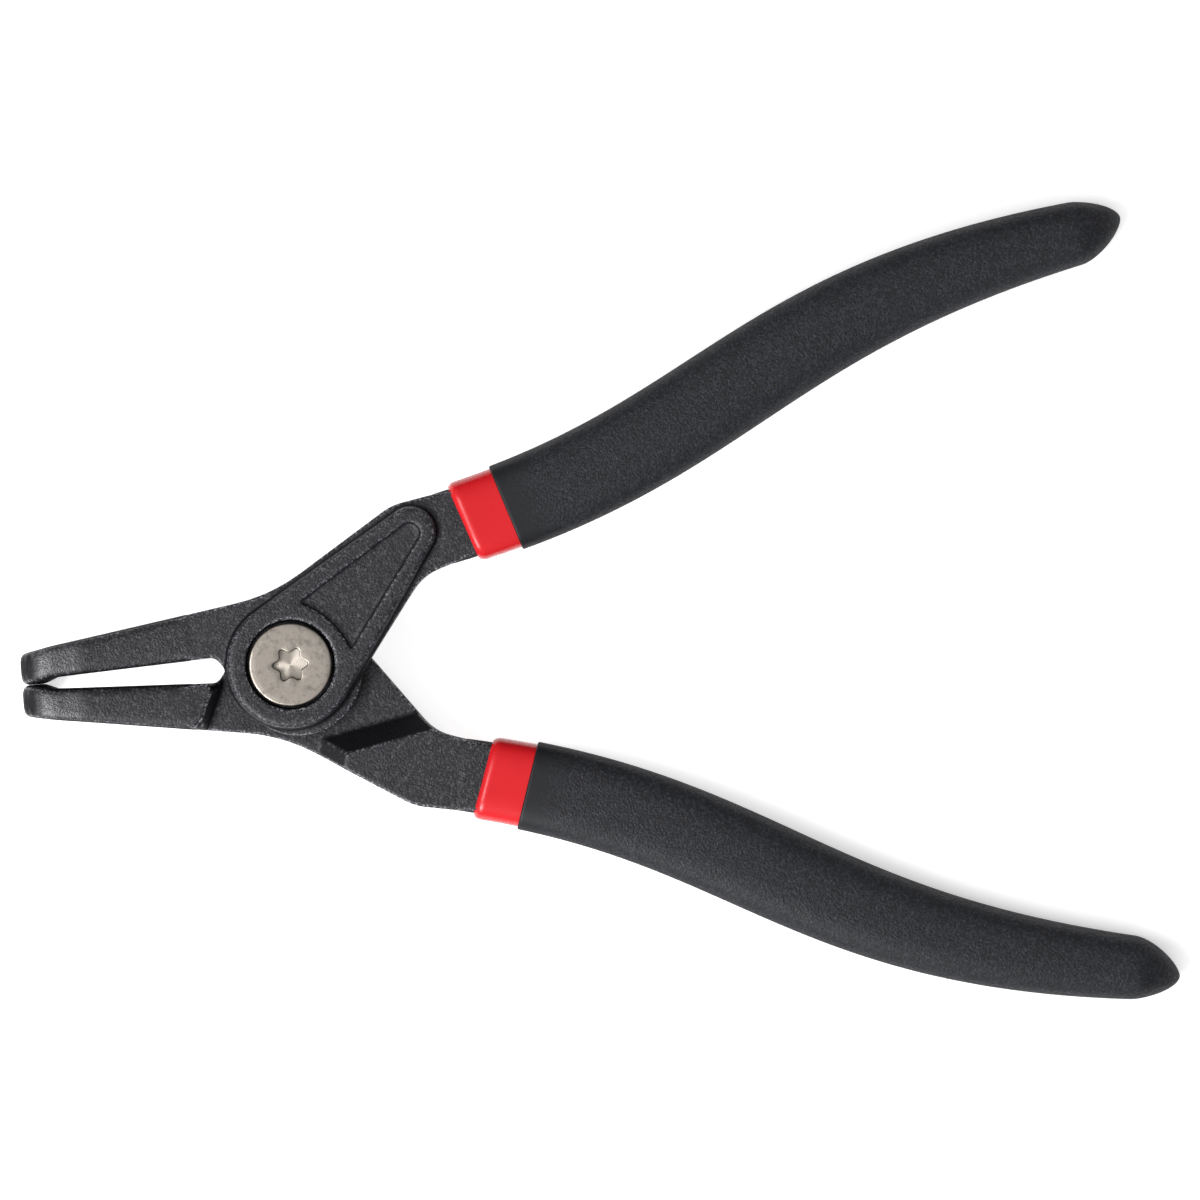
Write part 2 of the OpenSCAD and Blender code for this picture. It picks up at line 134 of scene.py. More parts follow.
class PliersSizes(bpy.types.PropertyGroup):
    """Sizes that a user would change."""

    forging_grain: FloatProperty(
        name="Forging detail",
        description="Spacing of the points on the forged halves",
        default=0.00022, min=0.00015, max=0.0006, precision=5, unit="LENGTH")
    forging_softness: IntProperty(
        name="Forging softness",
        description="Smoothing passes that round the forged edges",
        default=12, min=0, max=30)
    collar_lip: FloatProperty(
        name="Collar lip",
        description="Radius of the front edge of the red coat",
        default=0.0009, min=0.0003, max=0.00095, precision=5, unit="LENGTH")
    grip_lip: FloatProperty(
        name="Grip lip",
        description="Radius of the front edge of the black coat",
        default=0.0003, min=0.0001, max=0.0004, precision=5, unit="LENGTH")
    recess_depth: FloatProperty(
        name="Recess depth",
        description="Depth of the six-lobed recess in the screw",
        default=0.0012, min=0.001, max=0.0022, precision=5, unit="LENGTH")
    thread_pitch: FloatProperty(
        name="Thread pitch",
        description="Rise of the screw's thread in one turn",
        default=0.00075, min=0.0005, max=0.001, precision=5, unit="LENGTH")


class PliersColours(bpy.types.PropertyGroup):
    """Colours that a user would change."""

    phosphate: FloatVectorProperty(
        name="Phosphated steel", description="Black coat on the forged halves",
        subtype="COLOR", size=3, min=0, max=1, default=linear("141419"))
    # This colour also paints the glints on the coat and the highlight on the jaw bends
    phosphate_wear_and_highlight: FloatVectorProperty(
        name="Worn phosphate", description="Forged edges where the coat is rubbed thin",
        subtype="COLOR", size=3, min=0, max=1, default=linear("8c8c92"))
    red_coat: FloatVectorProperty(
        name="Inner coat", description="Red coat that shows as a collar",
        subtype="COLOR", size=3, min=0, max=1, default=linear("cd1921"))
    black_coat: FloatVectorProperty(
        name="Outer coat", description="Black coat on the handles",
        subtype="COLOR", size=3, min=0, max=1, default=linear("101115"))
    nickel: FloatVectorProperty(
        name="Nickel plate", description="Plating on the screw and the nut",
        subtype="COLOR", size=3, min=0, max=1, default=linear("aaa299"))
    ground_steel: FloatVectorProperty(
        name="Ground steel", description="Bare tip pins",
        subtype="COLOR", size=3, min=0, max=1, default=linear("a2a2a6"))
    spring_wire: FloatVectorProperty(
        name="Spring wire", description="Drawn wire of the return spring",
        subtype="COLOR", size=3, min=0, max=1, default=linear("b4b2ac"))


def curve(points, t):
    """Point at part t of a cubic curve."""
    s = 1 - t
    return s ** 3 * points[0] + 3 * s * s * t * points[1] + 3 * s * t * t * points[2] + t ** 3 * points[3]


def curve_way(points, t):
    """Direction of length one at part t of a cubic curve."""
    s = 1 - t
    step = np.diff(points, axis=0)
    way = s * s * step[0] + 2 * s * t * step[1] + t * t * step[2]
    return way / np.linalg.norm(way)


def bar_half_height(t):
    """Half thickness of the steel bar at part t of the handle."""
    return BAR_HALF_HEIGHT - BAR_THINNING * t * t


def handle_ring(t, grow, lip=0.0, squareness=None, count=64):
    """Ring of points round the handle at part t, grown over the steel bar and drawn in by lip."""
    rounder = min(1.0, max(0.0, t - ROUNDER_FROM) / ROUNDER_OVER)
    squareness = squareness or FRONT_SQUARENESS + (REAR_SQUARENESS - FRONT_SQUARENESS) * rounder
    u = max(0.0, (t - 1 + NOSE) / NOSE)
    shrink = max(0.0, 1 - u ** NOSE_POWER) ** NOSE_FULLNESS
    way = curve_way(HANDLE_LINE, t)
    left = np.array([-way[1], way[0]])
    middle = curve(HANDLE_LINE, t) + NOSE_SHIFT * u * u * left
    angle = np.arange(count) * 2 * math.pi / count
    across = np.sign(np.cos(angle)) * np.abs(np.cos(angle)) ** (2 / squareness)
    up = np.sign(np.sin(angle)) * np.abs(np.sin(angle)) ** (2 / squareness)
    across = across * (shrink * (curve(BAR_WIDTHS, t) + grow) - lip)
    up = up * (shrink * (bar_half_height(t) + grow) - lip)
    aside = left - DIP_SLANT * max(0.0, 1 - (t - COLLAR_START) / SLANT_FADE) * way
    return np.stack([middle[0] + aside[0] * across, middle[1] + aside[1] * across, up], axis=1)


def round_ring(radius, z, count):
    """Level ring about the pivot, with one radius or a radius for each point."""
    angle = np.arange(count) * 2 * math.pi / count
    return np.stack([radius * np.cos(angle), radius * np.sin(angle), np.full(count, z)], axis=1)


def in_frame(rings, side=1):
    """Rings in metres from the back pad's plane, turned over for the lower half."""
    return (np.array(rings) * [1, side, side] + [0, 0, MIDDLE]) * MM


def deselect():
    """Leave object mode's selection empty."""
    bpy.ops.object.select_all(action="DESELECT")


def select_only(piece):
    """Make a piece the only one that operators act on."""
    deselect()
    piece.select_set(True)
    bpy.context.view_layer.objects.active = piece


def vertex_values(piece, key):
    """Places or normals of a piece's points, one row for each."""
    values = np.zeros(len(piece.data.vertices) * 3, np.float32)
    piece.data.vertices.foreach_get(key, values)
    return values.reshape(-1, 3).astype(float)


def set_attribute(piece, name, values):
    """Store one number for each point of a piece."""
    layer = piece.data.attributes.new(name, "FLOAT", "POINT")
    layer.data.foreach_set("value", np.asarray(values, np.float32))


def loft(name, rings, closed=True, smooth_angle=40.0, attributes=None):
    """Draw a circle, extrude it once for each further ring, and set each ring in its place."""
    rings = np.asarray(rings)
    count = rings.shape[1]
    deselect()
    bpy.ops.mesh.primitive_circle_add(vertices=count, radius=1, fill_type="NOTHING")
    piece = bpy.context.object
    piece.name = name
    piece.data.name = name
    bpy.ops.object.mode_set(mode="EDIT")
    bpy.ops.mesh.select_all(action="SELECT")
    for _ in range(len(rings) - 1):
        bpy.ops.mesh.extrude_region_move(TRANSFORM_OT_translate={"value": (0, 0, 1)})
    bpy.ops.mesh.select_all(action="DESELECT")
    bpy.ops.object.mode_set(mode="OBJECT")

    points = vertex_values(piece, "co")
    level = np.rint(points[:, 2]).astype(int)
    turn = np.arctan2(points[:, 1], points[:, 0]) / (2 * math.pi)
    spoke = np.rint(turn * count).astype(int) % count
    piece.data.vertices.foreach_set("co", rings[level, spoke].astype(np.float32).ravel())
    for key, values in (attributes or {}).items():
        set_attribute(piece, key, np.asarray(values)[level])

    if closed:
        for end in (0, len(rings) - 1):
            for vertex in piece.data.vertices:
                vertex.select = bool(level[vertex.index] == end)
            bpy.ops.object.mode_set(mode="EDIT")
            bpy.ops.mesh.select_mode(type="VERT")
            bpy.ops.mesh.edge_face_add()
            bpy.ops.mesh.select_all(action="DESELECT")
            bpy.ops.object.mode_set(mode="OBJECT")
    bpy.ops.object.mode_set(mode="EDIT")
    bpy.ops.mesh.select_all(action="SELECT")
    bpy.ops.mesh.remove_doubles(threshold=1e-7)
    bpy.ops.mesh.normals_make_consistent(inside=False)
    bpy.ops.object.mode_set(mode="OBJECT")
    bpy.ops.object.shade_smooth_by_angle(angle=math.radians(smooth_angle))
    return piece


def fit(piece, material, body, node):
    """Give a piece its material and its body, and hide the solid it stands for."""
    piece.data.materials.clear()
    piece.data.materials.append(material)
    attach(piece, body)
    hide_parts(node)


def add_node(tree, kind, settings=None, links=None):
    """Add a node, set its properties or inputs by name or number, and link its inputs to sockets."""
    node = tree.nodes.new(kind)
    for key, value in (settings or {}).items():
        if isinstance(key, int) or key in node.inputs:
            node.inputs[key].default_value = value
        else:
            setattr(node, key, value)
    for key, socket in (links or {}).items():
        tree.links.new(socket, node.inputs[key])
    return node


def new_material(name):
    """Material with an empty node tree."""
    material = bpy.data.materials.new(name)
    material.use_nodes = True
    material.node_tree.nodes.clear()
    return material, material.node_tree


def phosphated_steel(colours):
    """Forged steel, blasted and black phosphated."""
    # The coat is matt and crystalline: dark grey with fine painted glints, and paler along raised edges,
    # which is partly rubbed wear and partly painted highlight
    material, tree = new_material("Forged steel, black phosphated")
    coordinates = add_node(tree, "ShaderNodeTexCoord")
    place = coordinates.outputs["Object"]
    dark = (*colours.phosphate, 1)
    light = (*[min(1, c * 1.4) for c in colours.phosphate], 1)
    # Darker copy of the coat: painted shade on steep faces
    painted_steep_shade = (*[c * 0.7 for c in colours.phosphate], 1)
    worn_and_highlight = (*colours.phosphate_wear_and_highlight, 1)
    # Blotches of 4 mm, blast grain of 0.35 mm and a forged skin of 1.6 mm
    blotch = add_node(tree, "ShaderNodeTexNoise", {"Scale": 1 / 0.004, "Detail": 3.0}, {"Vector": place})
    grain = add_node(
        tree, "ShaderNodeTexNoise", {"Scale": 1 / 0.00035, "Detail": 2.0, "Roughness": 0.6},
        {"Vector": place})
    skin = add_node(tree, "ShaderNodeTexNoise", {"Scale": 1 / 0.0016, "Detail": 1.0}, {"Vector": place})
    # Painted glints: pale dots in the colour where crystal faces would catch the light, drawn at 0.33 mm so
    # that they show
    crystal = add_node(tree, "ShaderNodeTexVoronoi", {"Scale": 1 / 0.00033}, {"Vector": place})
    painted_glint = add_node(
        tree, "ShaderNodeMapRange", {"From Min": 0.6, "From Max": 1.0, "To Min": 0.0, "To Max": 0.24},
        {"Value": crystal.outputs["Color"]})
    base = add_node(
        tree, "ShaderNodeMix", {"data_type": "RGBA", MIX_FROM: dark, MIX_TO: light},
        {MIX_SHARE: blotch.outputs["Fac"]})
    edge = add_node(tree, "ShaderNodeAttribute", {"attribute_name": "edge"})
    # The bends of the jaws, 33 mm to 41 mm in front of the pivot, are glossier on top and not on their
    # sides, and get a painted highlight there
    facing = add_node(tree, "ShaderNodeSeparateXYZ", links={"Vector": coordinates.outputs["Normal"]})
    sideways = add_node(tree, "ShaderNodeMath", {"operation": "ABSOLUTE"}, {0: facing.outputs["Y"]})
    above = add_node(
        tree, "ShaderNodeMapRange", {"From Min": 0.75, "From Max": 0.35, "To Min": 0.0, "To Max": 1.0},
        {"Value": sideways.outputs["Value"]})
    along = add_node(tree, "ShaderNodeSeparateXYZ", links={"Vector": place})
    behind = add_node(
        tree, "ShaderNodeMapRange",
        {"From Min": -0.0325, "From Max": -0.0345, "To Min": 0.0, "To Max": 1.0},
        {"Value": along.outputs["X"]})
    ahead = add_node(
        tree, "ShaderNodeMapRange", {"From Min": -0.0412, "From Max": -0.04, "To Min": 0.0, "To Max": 1.0},
        {"Value": along.outputs["X"]})
    bend = add_node(
        tree, "ShaderNodeMath", {"operation": "MULTIPLY"},
        {0: behind.outputs["Result"], 1: ahead.outputs["Result"]})
    bend = add_node(
        tree, "ShaderNodeMath", {"operation": "MULTIPLY"},
        {0: bend.outputs["Value"], 1: above.outputs["Result"]})
    peaks = add_node(
        tree, "ShaderNodeMapRange", {"From Min": 0.46, "From Max": 0.66, "To Min": 0.02, "To Max": 0.26},
        {"Value": grain.outputs["Fac"]})
    # Pale specks on raised edges: partly rubbed wear and partly painted glints
    specks = add_node(
        tree, "ShaderNodeMapRange", {"From Min": 0.52, "From Max": 0.62, "To Min": 0.0, "To Max": 1.0},
        {"Value": grain.outputs["Fac"]})
    chipped_and_glinting = add_node(
        tree, "ShaderNodeMath", {"operation": "MULTIPLY"},
        {0: edge.outputs["Fac"], 1: specks.outputs["Result"]})
    # Painted highlight: the grain's peaks on top of the jaw bends are painted pale
    rubbed = add_node(
        tree, "ShaderNodeMath", {"operation": "MULTIPLY"},
        {0: bend.outputs["Value"], 1: peaks.outputs["Result"]})
    # Real edge wear, painted glints and the painted bend highlight share one pale colour
    wear_and_highlight = add_node(
        tree, "ShaderNodeMath", {"operation": "MAXIMUM"},
        {0: chipped_and_glinting.outputs["Value"], 1: painted_glint.outputs["Result"]})
    wear_and_highlight = add_node(
        tree, "ShaderNodeMath", {"operation": "MAXIMUM"},
        {0: wear_and_highlight.outputs["Value"], 1: rubbed.outputs["Value"]})
    colour = add_node(
        tree, "ShaderNodeMix", {"data_type": "RGBA", MIX_TO: worn_and_highlight},
        {MIX_SHARE: wear_and_highlight.outputs["Value"], MIX_FROM: base.outputs[MIX_COLOUR]})
    # Handling burnishes flat faces, raised edges and the bends, and steep faces stay matt, with their colour
    # darkened as painted shade
    level = add_node(tree, "ShaderNodeMath", {"operation": "ABSOLUTE"}, {0: facing.outputs["Z"]})
    flat = add_node(
        tree, "ShaderNodeMapRange", {"From Min": 0.66, "From Max": 0.92, "To Min": 0.0, "To Max": 0.8},
        {"Value": level.outputs["Value"]})
    burnish_and_painted_light = add_node(
        tree, "ShaderNodeMath", {"operation": "MAXIMUM"},
        {0: flat.outputs["Result"], 1: bend.outputs["Value"]})
    burnish_and_painted_light = add_node(
        tree, "ShaderNodeMath", {"operation": "MAXIMUM"},
        {0: burnish_and_painted_light.outputs["Value"], 1: edge.outputs["Fac"]})
    colour = add_node(
        tree, "ShaderNodeMix", {"data_type": "RGBA", MIX_FROM: painted_steep_shade},
        {MIX_SHARE: burnish_and_painted_light.outputs["Value"], MIX_TO: colour.outputs[MIX_COLOUR]})
    rough = add_node(
        tree, "ShaderNodeMapRange", {"From Min": 0.0, "From Max": 1.0, "To Min": 0.75, "To Max": 0.38},
        {"Value": burnish_and_painted_light.outputs["Value"]})
    gloss = add_node(
        tree, "ShaderNodeMapRange", {"From Min": 0.0, "From Max": 1.0, "To Min": 0.16, "To Max": 0.46},
        {"Value": burnish_and_painted_light.outputs["Value"]})
    gloss = add_node(
        tree, "ShaderNodeMath", {"operation": "MULTIPLY_ADD", 1: 0.35},
        {0: bend.outputs["Value"], 2: gloss.outputs["Result"]})
    height = add_node(
        tree, "ShaderNodeMath", {"operation": "MULTIPLY_ADD", 1: 0.5},
        {0: skin.outputs["Fac"], 2: grain.outputs["Fac"]})
    bump = add_node(
        tree, "ShaderNodeBump", {"Strength": 1.0, "Distance": 0.00013},
        {"Height": height.outputs["Value"]})
    shader = add_node(
        tree, "ShaderNodeBsdfPrincipled", {"Metallic": 0.0},
        {"Base Color": colour.outputs[MIX_COLOUR], "Roughness": rough.outputs["Result"],
         "Specular IOR Level": gloss.outputs["Value"], "Normal": bump.outputs["Normal"]})
    add_node(tree, "ShaderNodeOutputMaterial", links={"Surface": shader.outputs["BSDF"]})
    return material


def red_plastisol(colours):
    """Dipped red PVC."""
    # A dip flows out glossy and even, with a slow ripple and hardly any grain
    material, tree = new_material("PVC plastisol, dipped red")
    coordinates = add_node(tree, "ShaderNodeTexCoord")
    place = coordinates.outputs["Object"]
    red = (*colours.red_coat, 1)
    deep = (*[c * 0.86 for c in colours.red_coat], 1)
    ripple = add_node(tree, "ShaderNodeTexNoise", {"Scale": 1 / 0.005, "Detail": 1.0}, {"Vector": place})
    haze = add_node(tree, "ShaderNodeTexNoise", {"Scale": 1 / 0.0012, "Detail": 2.0}, {"Vector": place})
    colour = add_node(
        tree, "ShaderNodeMix", {"data_type": "RGBA", MIX_FROM: red, MIX_TO: deep},
        {MIX_SHARE: ripple.outputs["Fac"]})
    rough = add_node(
        tree, "ShaderNodeMapRange", {"From Min": 0.3, "From Max": 0.7, "To Min": 0.26, "To Max": 0.29},
        {"Value": haze.outputs["Fac"]})
    bump = add_node(
        tree, "ShaderNodeBump", {"Strength": 0.3, "Distance": 0.00008}, {"Height": ripple.outputs["Fac"]})
    shader = add_node(
        tree, "ShaderNodeBsdfPrincipled", {"IOR": 1.52, "Specular IOR Level": 0.35},
        {"Base Color": colour.outputs[MIX_COLOUR], "Roughness": rough.outputs["Result"],
         "Normal": bump.outputs["Normal"]})
    add_node(tree, "ShaderNodeOutputMaterial", links={"Surface": shader.outputs["BSDF"]})
    return material


def black_plastisol(colours):
    """Dipped black PVC with a fine texture."""
    # The filled dip dries with a fine pebble grain, smooth only beside its mouth
    material, tree = new_material("PVC plastisol, dipped black, textured")
    coordinates = add_node(tree, "ShaderNodeTexCoord")
    place = coordinates.outputs["Object"]
    black = (*colours.black_coat, 1)
    painted_sparkle = (*[min(1, c * 5) for c in colours.black_coat], 1)
    # Pebbles of 0.35 mm, with pale painted glints where some would catch the light, over a swell of 3 mm
    pebble = add_node(
        tree, "ShaderNodeTexNoise", {"Scale": 1 / 0.00035, "Detail": 2.0, "Roughness": 0.55},
        {"Vector": place})
    sparkle = add_node(tree, "ShaderNodeTexVoronoi", {"Scale": 1 / 0.0003}, {"Vector": place})
    swell = add_node(tree, "ShaderNodeTexNoise", {"Scale": 1 / 0.003, "Detail": 2.0}, {"Vector": place})
    mouth = add_node(tree, "ShaderNodeAttribute", {"attribute_name": "grain"})
    height = add_node(
        tree, "ShaderNodeMath", {"operation": "MULTIPLY"},
        {0: pebble.outputs["Fac"], 1: mouth.outputs["Fac"]})
    painted_sparkle_share = add_node(
        tree, "ShaderNodeMapRange", {"From Min": 0.45, "From Max": 1.0, "To Min": 0.0, "To Max": 1.0},
        {"Value": sparkle.outputs["Color"]})
    painted_sparkle_share = add_node(
        tree, "ShaderNodeMath", {"operation": "MULTIPLY"},
        {0: painted_sparkle_share.outputs["Result"], 1: mouth.outputs["Fac"]})
    colour = add_node(
        tree, "ShaderNodeMix", {"data_type": "RGBA", MIX_FROM: black, MIX_TO: painted_sparkle},
        {MIX_SHARE: painted_sparkle_share.outputs["Value"]})
    rough = add_node(
        tree, "ShaderNodeMapRange", {"From Min": 0.3, "From Max": 0.7, "To Min": 0.48, "To Max": 0.56},
        {"Value": swell.outputs["Fac"]})
    bump = add_node(
        tree, "ShaderNodeBump", {"Strength": 1.0, "Distance": 0.00014}, {"Height": height.outputs["Value"]})
    # Hands polish the broad faces, and the steep sides stay matt
    facing = add_node(tree, "ShaderNodeSeparateXYZ", links={"Vector": coordinates.outputs["Normal"]})
    level = add_node(tree, "ShaderNodeMath", {"operation": "ABSOLUTE"}, {0: facing.outputs["Z"]})
    gloss = add_node(
        tree, "ShaderNodeMapRange", {"From Min": 0.3, "From Max": 0.85, "To Min": 0.05, "To Max": 0.34},
        {"Value": level.outputs["Value"]})
    shader = add_node(
        tree, "ShaderNodeBsdfPrincipled", {"IOR": 1.5},
        {"Base Color": colour.outputs[MIX_COLOUR], "Roughness": rough.outputs["Result"],
         "Specular IOR Level": gloss.outputs["Result"], "Normal": bump.outputs["Normal"]})
    add_node(tree, "ShaderNodeOutputMaterial", links={"Surface": shader.outputs["BSDF"]})
    return material


def nickel_plate(colours):
    """Turned steel, satin nickel plated."""
    # Turning leaves fine rings about the axis, and the plating is a little blotchy and warm
    material, tree = new_material("Turned steel, satin nickel plated")
    coordinates = add_node(tree, "ShaderNodeTexCoord")
    place = coordinates.outputs["Object"]
    plate = (*colours.nickel, 1)
    dull = (*[c * 0.42 for c in colours.nickel], 1)
    recess_shade_colour = (*[c * 0.12 for c in colours.nickel], 1)
    painted_floor_highlight = (*[min(1, c * 1.7) for c in colours.nickel], 1)
    blotch = add_node(
        tree, "ShaderNodeTexNoise", {"Scale": 1 / 0.0012, "Detail": 5.0, "Roughness": 0.7},
        {"Vector": place})
    pits = add_node(tree, "ShaderNodeTexNoise", {"Scale": 1 / 0.0004, "Detail": 2.0}, {"Vector": place})
    # Rings every 0.35 mm, coarser than a real feed so that they show (at scale 1 they are 0.314 apart)
    rings = add_node(
        tree, "ShaderNodeTexWave",
        {"wave_type": "RINGS", "rings_direction": "Z",
         "Scale": 0.314 / 0.00035, "Distortion": 0.6, "Detail": 1.0},
        {"Vector": place})
    stain = add_node(
        tree, "ShaderNodeMapRange", {"From Min": 0.46, "From Max": 0.72, "To Min": 0.0, "To Max": 1.0},
        {"Value": blotch.outputs["Fac"]})
    colour = add_node(
        tree, "ShaderNodeMix", {"data_type": "RGBA", MIX_FROM: plate, MIX_TO: dull},
        {MIX_SHARE: stain.outputs["Result"]})
    # The floor of the recess is painted brighter as a highlight, and its walls are painted dark as shade
    marks = add_node(tree, "ShaderNodeAttribute", {"attribute_name": "turned"})
    colour = add_node(
        tree, "ShaderNodeMix", {"data_type": "RGBA", MIX_TO: painted_floor_highlight},
        {MIX_SHARE: marks.outputs["Fac"], MIX_FROM: colour.outputs[MIX_COLOUR]})
    painted_recess_shade = add_node(tree, "ShaderNodeAttribute", {"attribute_name": "painted_recess_shade"})
    colour = add_node(
        tree, "ShaderNodeMix", {"data_type": "RGBA", MIX_TO: recess_shade_colour},
        {MIX_SHARE: painted_recess_shade.outputs["Fac"], MIX_FROM: colour.outputs[MIX_COLOUR]})
    rough = add_node(
        tree, "ShaderNodeMapRange", {"From Min": 0.3, "From Max": 0.7, "To Min": 0.34, "To Max": 0.5},
        {"Value": blotch.outputs["Fac"]})
    height = add_node(
        tree, "ShaderNodeMath", {"operation": "MULTIPLY_ADD", 1: 0.5},
        {0: rings.outputs["Fac"], 2: pits.outputs["Fac"]})
    bump = add_node(
        tree, "ShaderNodeBump", {"Strength": 0.25, "Distance": 0.00003},
        {"Height": height.outputs["Value"]})
    # The turning marks stretch the reflection most on the floor of the recess
    around = add_node(tree, "ShaderNodeTangent", {"direction_type": "RADIAL", "axis": "Z"})
    shader = add_node(
        tree, "ShaderNodeBsdfPrincipled", {"Metallic": 1.0, "Anisotropic Rotation": 0.25},
        {"Base Color": colour.outputs[MIX_COLOUR], "Roughness": rough.outputs["Result"],
         "Normal": bump.outputs["Normal"], "Anisotropic": marks.outputs["Fac"],
         "Tangent": around.outputs["Tangent"]})
    add_node(tree, "ShaderNodeOutputMaterial", links={"Surface": shader.outputs["BSDF"]})
    return material


def bare_steel(name, colour, lay, rough_from, rough_to):
    """Bare steel with fine marks of the given spacing in metres."""
    # Grinding and drawing leave fine marks that blur the reflection a little
    material, tree = new_material(name)
    coordinates = add_node(tree, "ShaderNodeTexCoord")
    place = coordinates.outputs["Object"]
    marks = add_node(tree, "ShaderNodeTexNoise", {"Scale": 1 / lay, "Detail": 3.0}, {"Vector": place})
    bright = (*colour, 1)
    dull = (*[c * 0.7 for c in colour], 1)
    tone = add_node(
        tree, "ShaderNodeMix", {"data_type": "RGBA", MIX_FROM: bright, MIX_TO: dull},
        {MIX_SHARE: marks.outputs["Fac"]})
    rough = add_node(
        tree, "ShaderNodeMapRange",
        {"From Min": 0.3, "From Max": 0.7, "To Min": rough_from, "To Max": rough_to},
        {"Value": marks.outputs["Fac"]})
    bump = add_node(
        tree, "ShaderNodeBump", {"Strength": 0.2, "Distance": 0.00002}, {"Height": marks.outputs["Fac"]})
    shader = add_node(
        tree, "ShaderNodeBsdfPrincipled", {"Metallic": 1.0},
        {"Base Color": tone.outputs[MIX_COLOUR], "Roughness": rough.outputs["Result"],
         "Normal": bump.outputs["Normal"]})
    add_node(tree, "ShaderNodeOutputMaterial", links={"Surface": shader.outputs["BSDF"]})
    return material


def close_beaks(piece, side):
    """Bring the inner face of a beak up to the middle plane, where the two beaks rest together."""
    starts_at, fades_over = -37.2, 1.6
    reach, softness = 1.2, 1.1
    gap, left_over = 0.09, 0.01
    points = vertex_values(piece, "co")
    away = points[:, 1] * side / MM
    ahead = np.clip((starts_at - points[:, 0] / MM) / fades_over, 0, 1)
    near = ahead * np.clip((reach - away) / softness, 0, 1)
    moved = np.maximum(away - gap * near, left_over)
    points[:, 1] = side * np.where(near > 0, moved, away) * MM
    piece.data.vertices.foreach_set("co", points.astype(np.float32).ravel())
    piece.data.update()


def edge_wear_and_glints(piece):
    """How sharply each point of a piece stands out from its neighbours, from 0 to 1."""
    # Curvature at which edge wear and painted glints start, as one over a radius in millimetres, and how
    # much more makes them full
    starts_at, full_after = 0.2, 0.55
    points = vertex_values(piece, "co")
    normals = vertex_values(piece, "normal")
    ends = np.zeros(len(piece.data.edges) * 2, np.int32)
    piece.data.edges.foreach_get("vertices", ends)
    a, b = ends.reshape(-1, 2).T
    step = points[b] - points[a]
    square = np.maximum((step * step).sum(1), 1e-14)
    bend = np.zeros(len(points))
    share = np.zeros(len(points))
    np.add.at(bend, a, -2 * (step * normals[a]).sum(1) / square)
    np.add.at(bend, b, 2 * (step * normals[b]).sum(1) / square)
    np.add.at(share, a, 1)
    np.add.at(share, b, 1)
    bend = bend / np.maximum(share, 1)
    for _ in range(2):
        total = bend.copy()
        np.add.at(total, a, bend[b])
        np.add.at(total, b, bend[a])
        bend = total / (share + 1)
    return np.clip((bend * MM - starts_at) / full_after, 0, 1)


class PLIERS_OT_forgings(bpy.types.Operator):
    """Two forged halves, with edges rounded as by the dies and the blasting"""

    bl_idname = "pliers.forgings"
    bl_label = "Forged halves"

    def execute(self, context):
        sizes = context.scene.pliers_sizes
        material = phosphated_steel(context.scene.pliers_colours)
        for half, body, side in HALVES:
            node = half + "_forging"
            piece = bpy.data.objects.new("forged_half_" + half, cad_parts[node].data.copy())
            context.scene.collection.objects.link(piece)
            select_only(piece)
            bpy.ops.object.mode_set(mode="EDIT")
            bpy.ops.mesh.select_all(action="SELECT")
            bpy.ops.mesh.remove_doubles(threshold=2e-6)
            bpy.ops.object.mode_set(mode="OBJECT")
            skin = piece.modifiers.new("Skin", "REMESH")
            skin.mode = "VOXEL"
            skin.voxel_size = sizes.forging_grain
            skin.use_smooth_shade = True
            bpy.ops.object.modifier_apply(modifier=skin.name)
            soften = piece.modifiers.new("Soften", "SMOOTH")
            soften.factor = 0.5
            soften.iterations = sizes.forging_softness
            bpy.ops.object.modifier_apply(modifier=soften.name)
            triangles = sum(len(face.vertices) - 2 for face in piece.data.polygons)
            thin = piece.modifiers.new("Thin", "DECIMATE")
            thin.ratio = min(1.0, MOST_TRIANGLES / triangles)
            bpy.ops.object.modifier_apply(modifier=thin.name)
            bpy.ops.object.shade_smooth()
            close_beaks(piece, side)
            set_attribute(piece, "edge", edge_wear_and_glints(piece))
            fit(piece, material, body, node)
        return {"FINISHED"}


class PLIERS_OT_tips(bpy.types.Operator):
    """Two ground pins that stand out of the bent beaks"""

    bl_idname = "pliers.tips"
    bl_label = "Tip pins"

    def execute(self, context):
        colours = context.scene.pliers_colours
        material = bare_steel("Tool steel, ground", colours.ground_steel, 0.0002, 0.26, 0.38)
        # Radius and height from the rounded free end up to the thicker end in the beak
        profile = [(0.35, -13.7), (0.6, -13.67), (0.76, -13.58), (0.85, -13.46), (0.9, -13.3),
                   (0.9, -10.62), (0.95, -10.52), (1.2, -10.5), (1.2, -5.6), (1.1, -5.5)]
        for half, body, side in HALVES:
            rings = [round_ring(radius, z, 40) + [BEAK_X, side * TIP_OFFSET, 0] for radius, z in profile]
            piece = loft("tip_pin_" + half, in_frame(rings))
            fit(piece, material, body, half + "_tip")
        return {"FINISHED"}


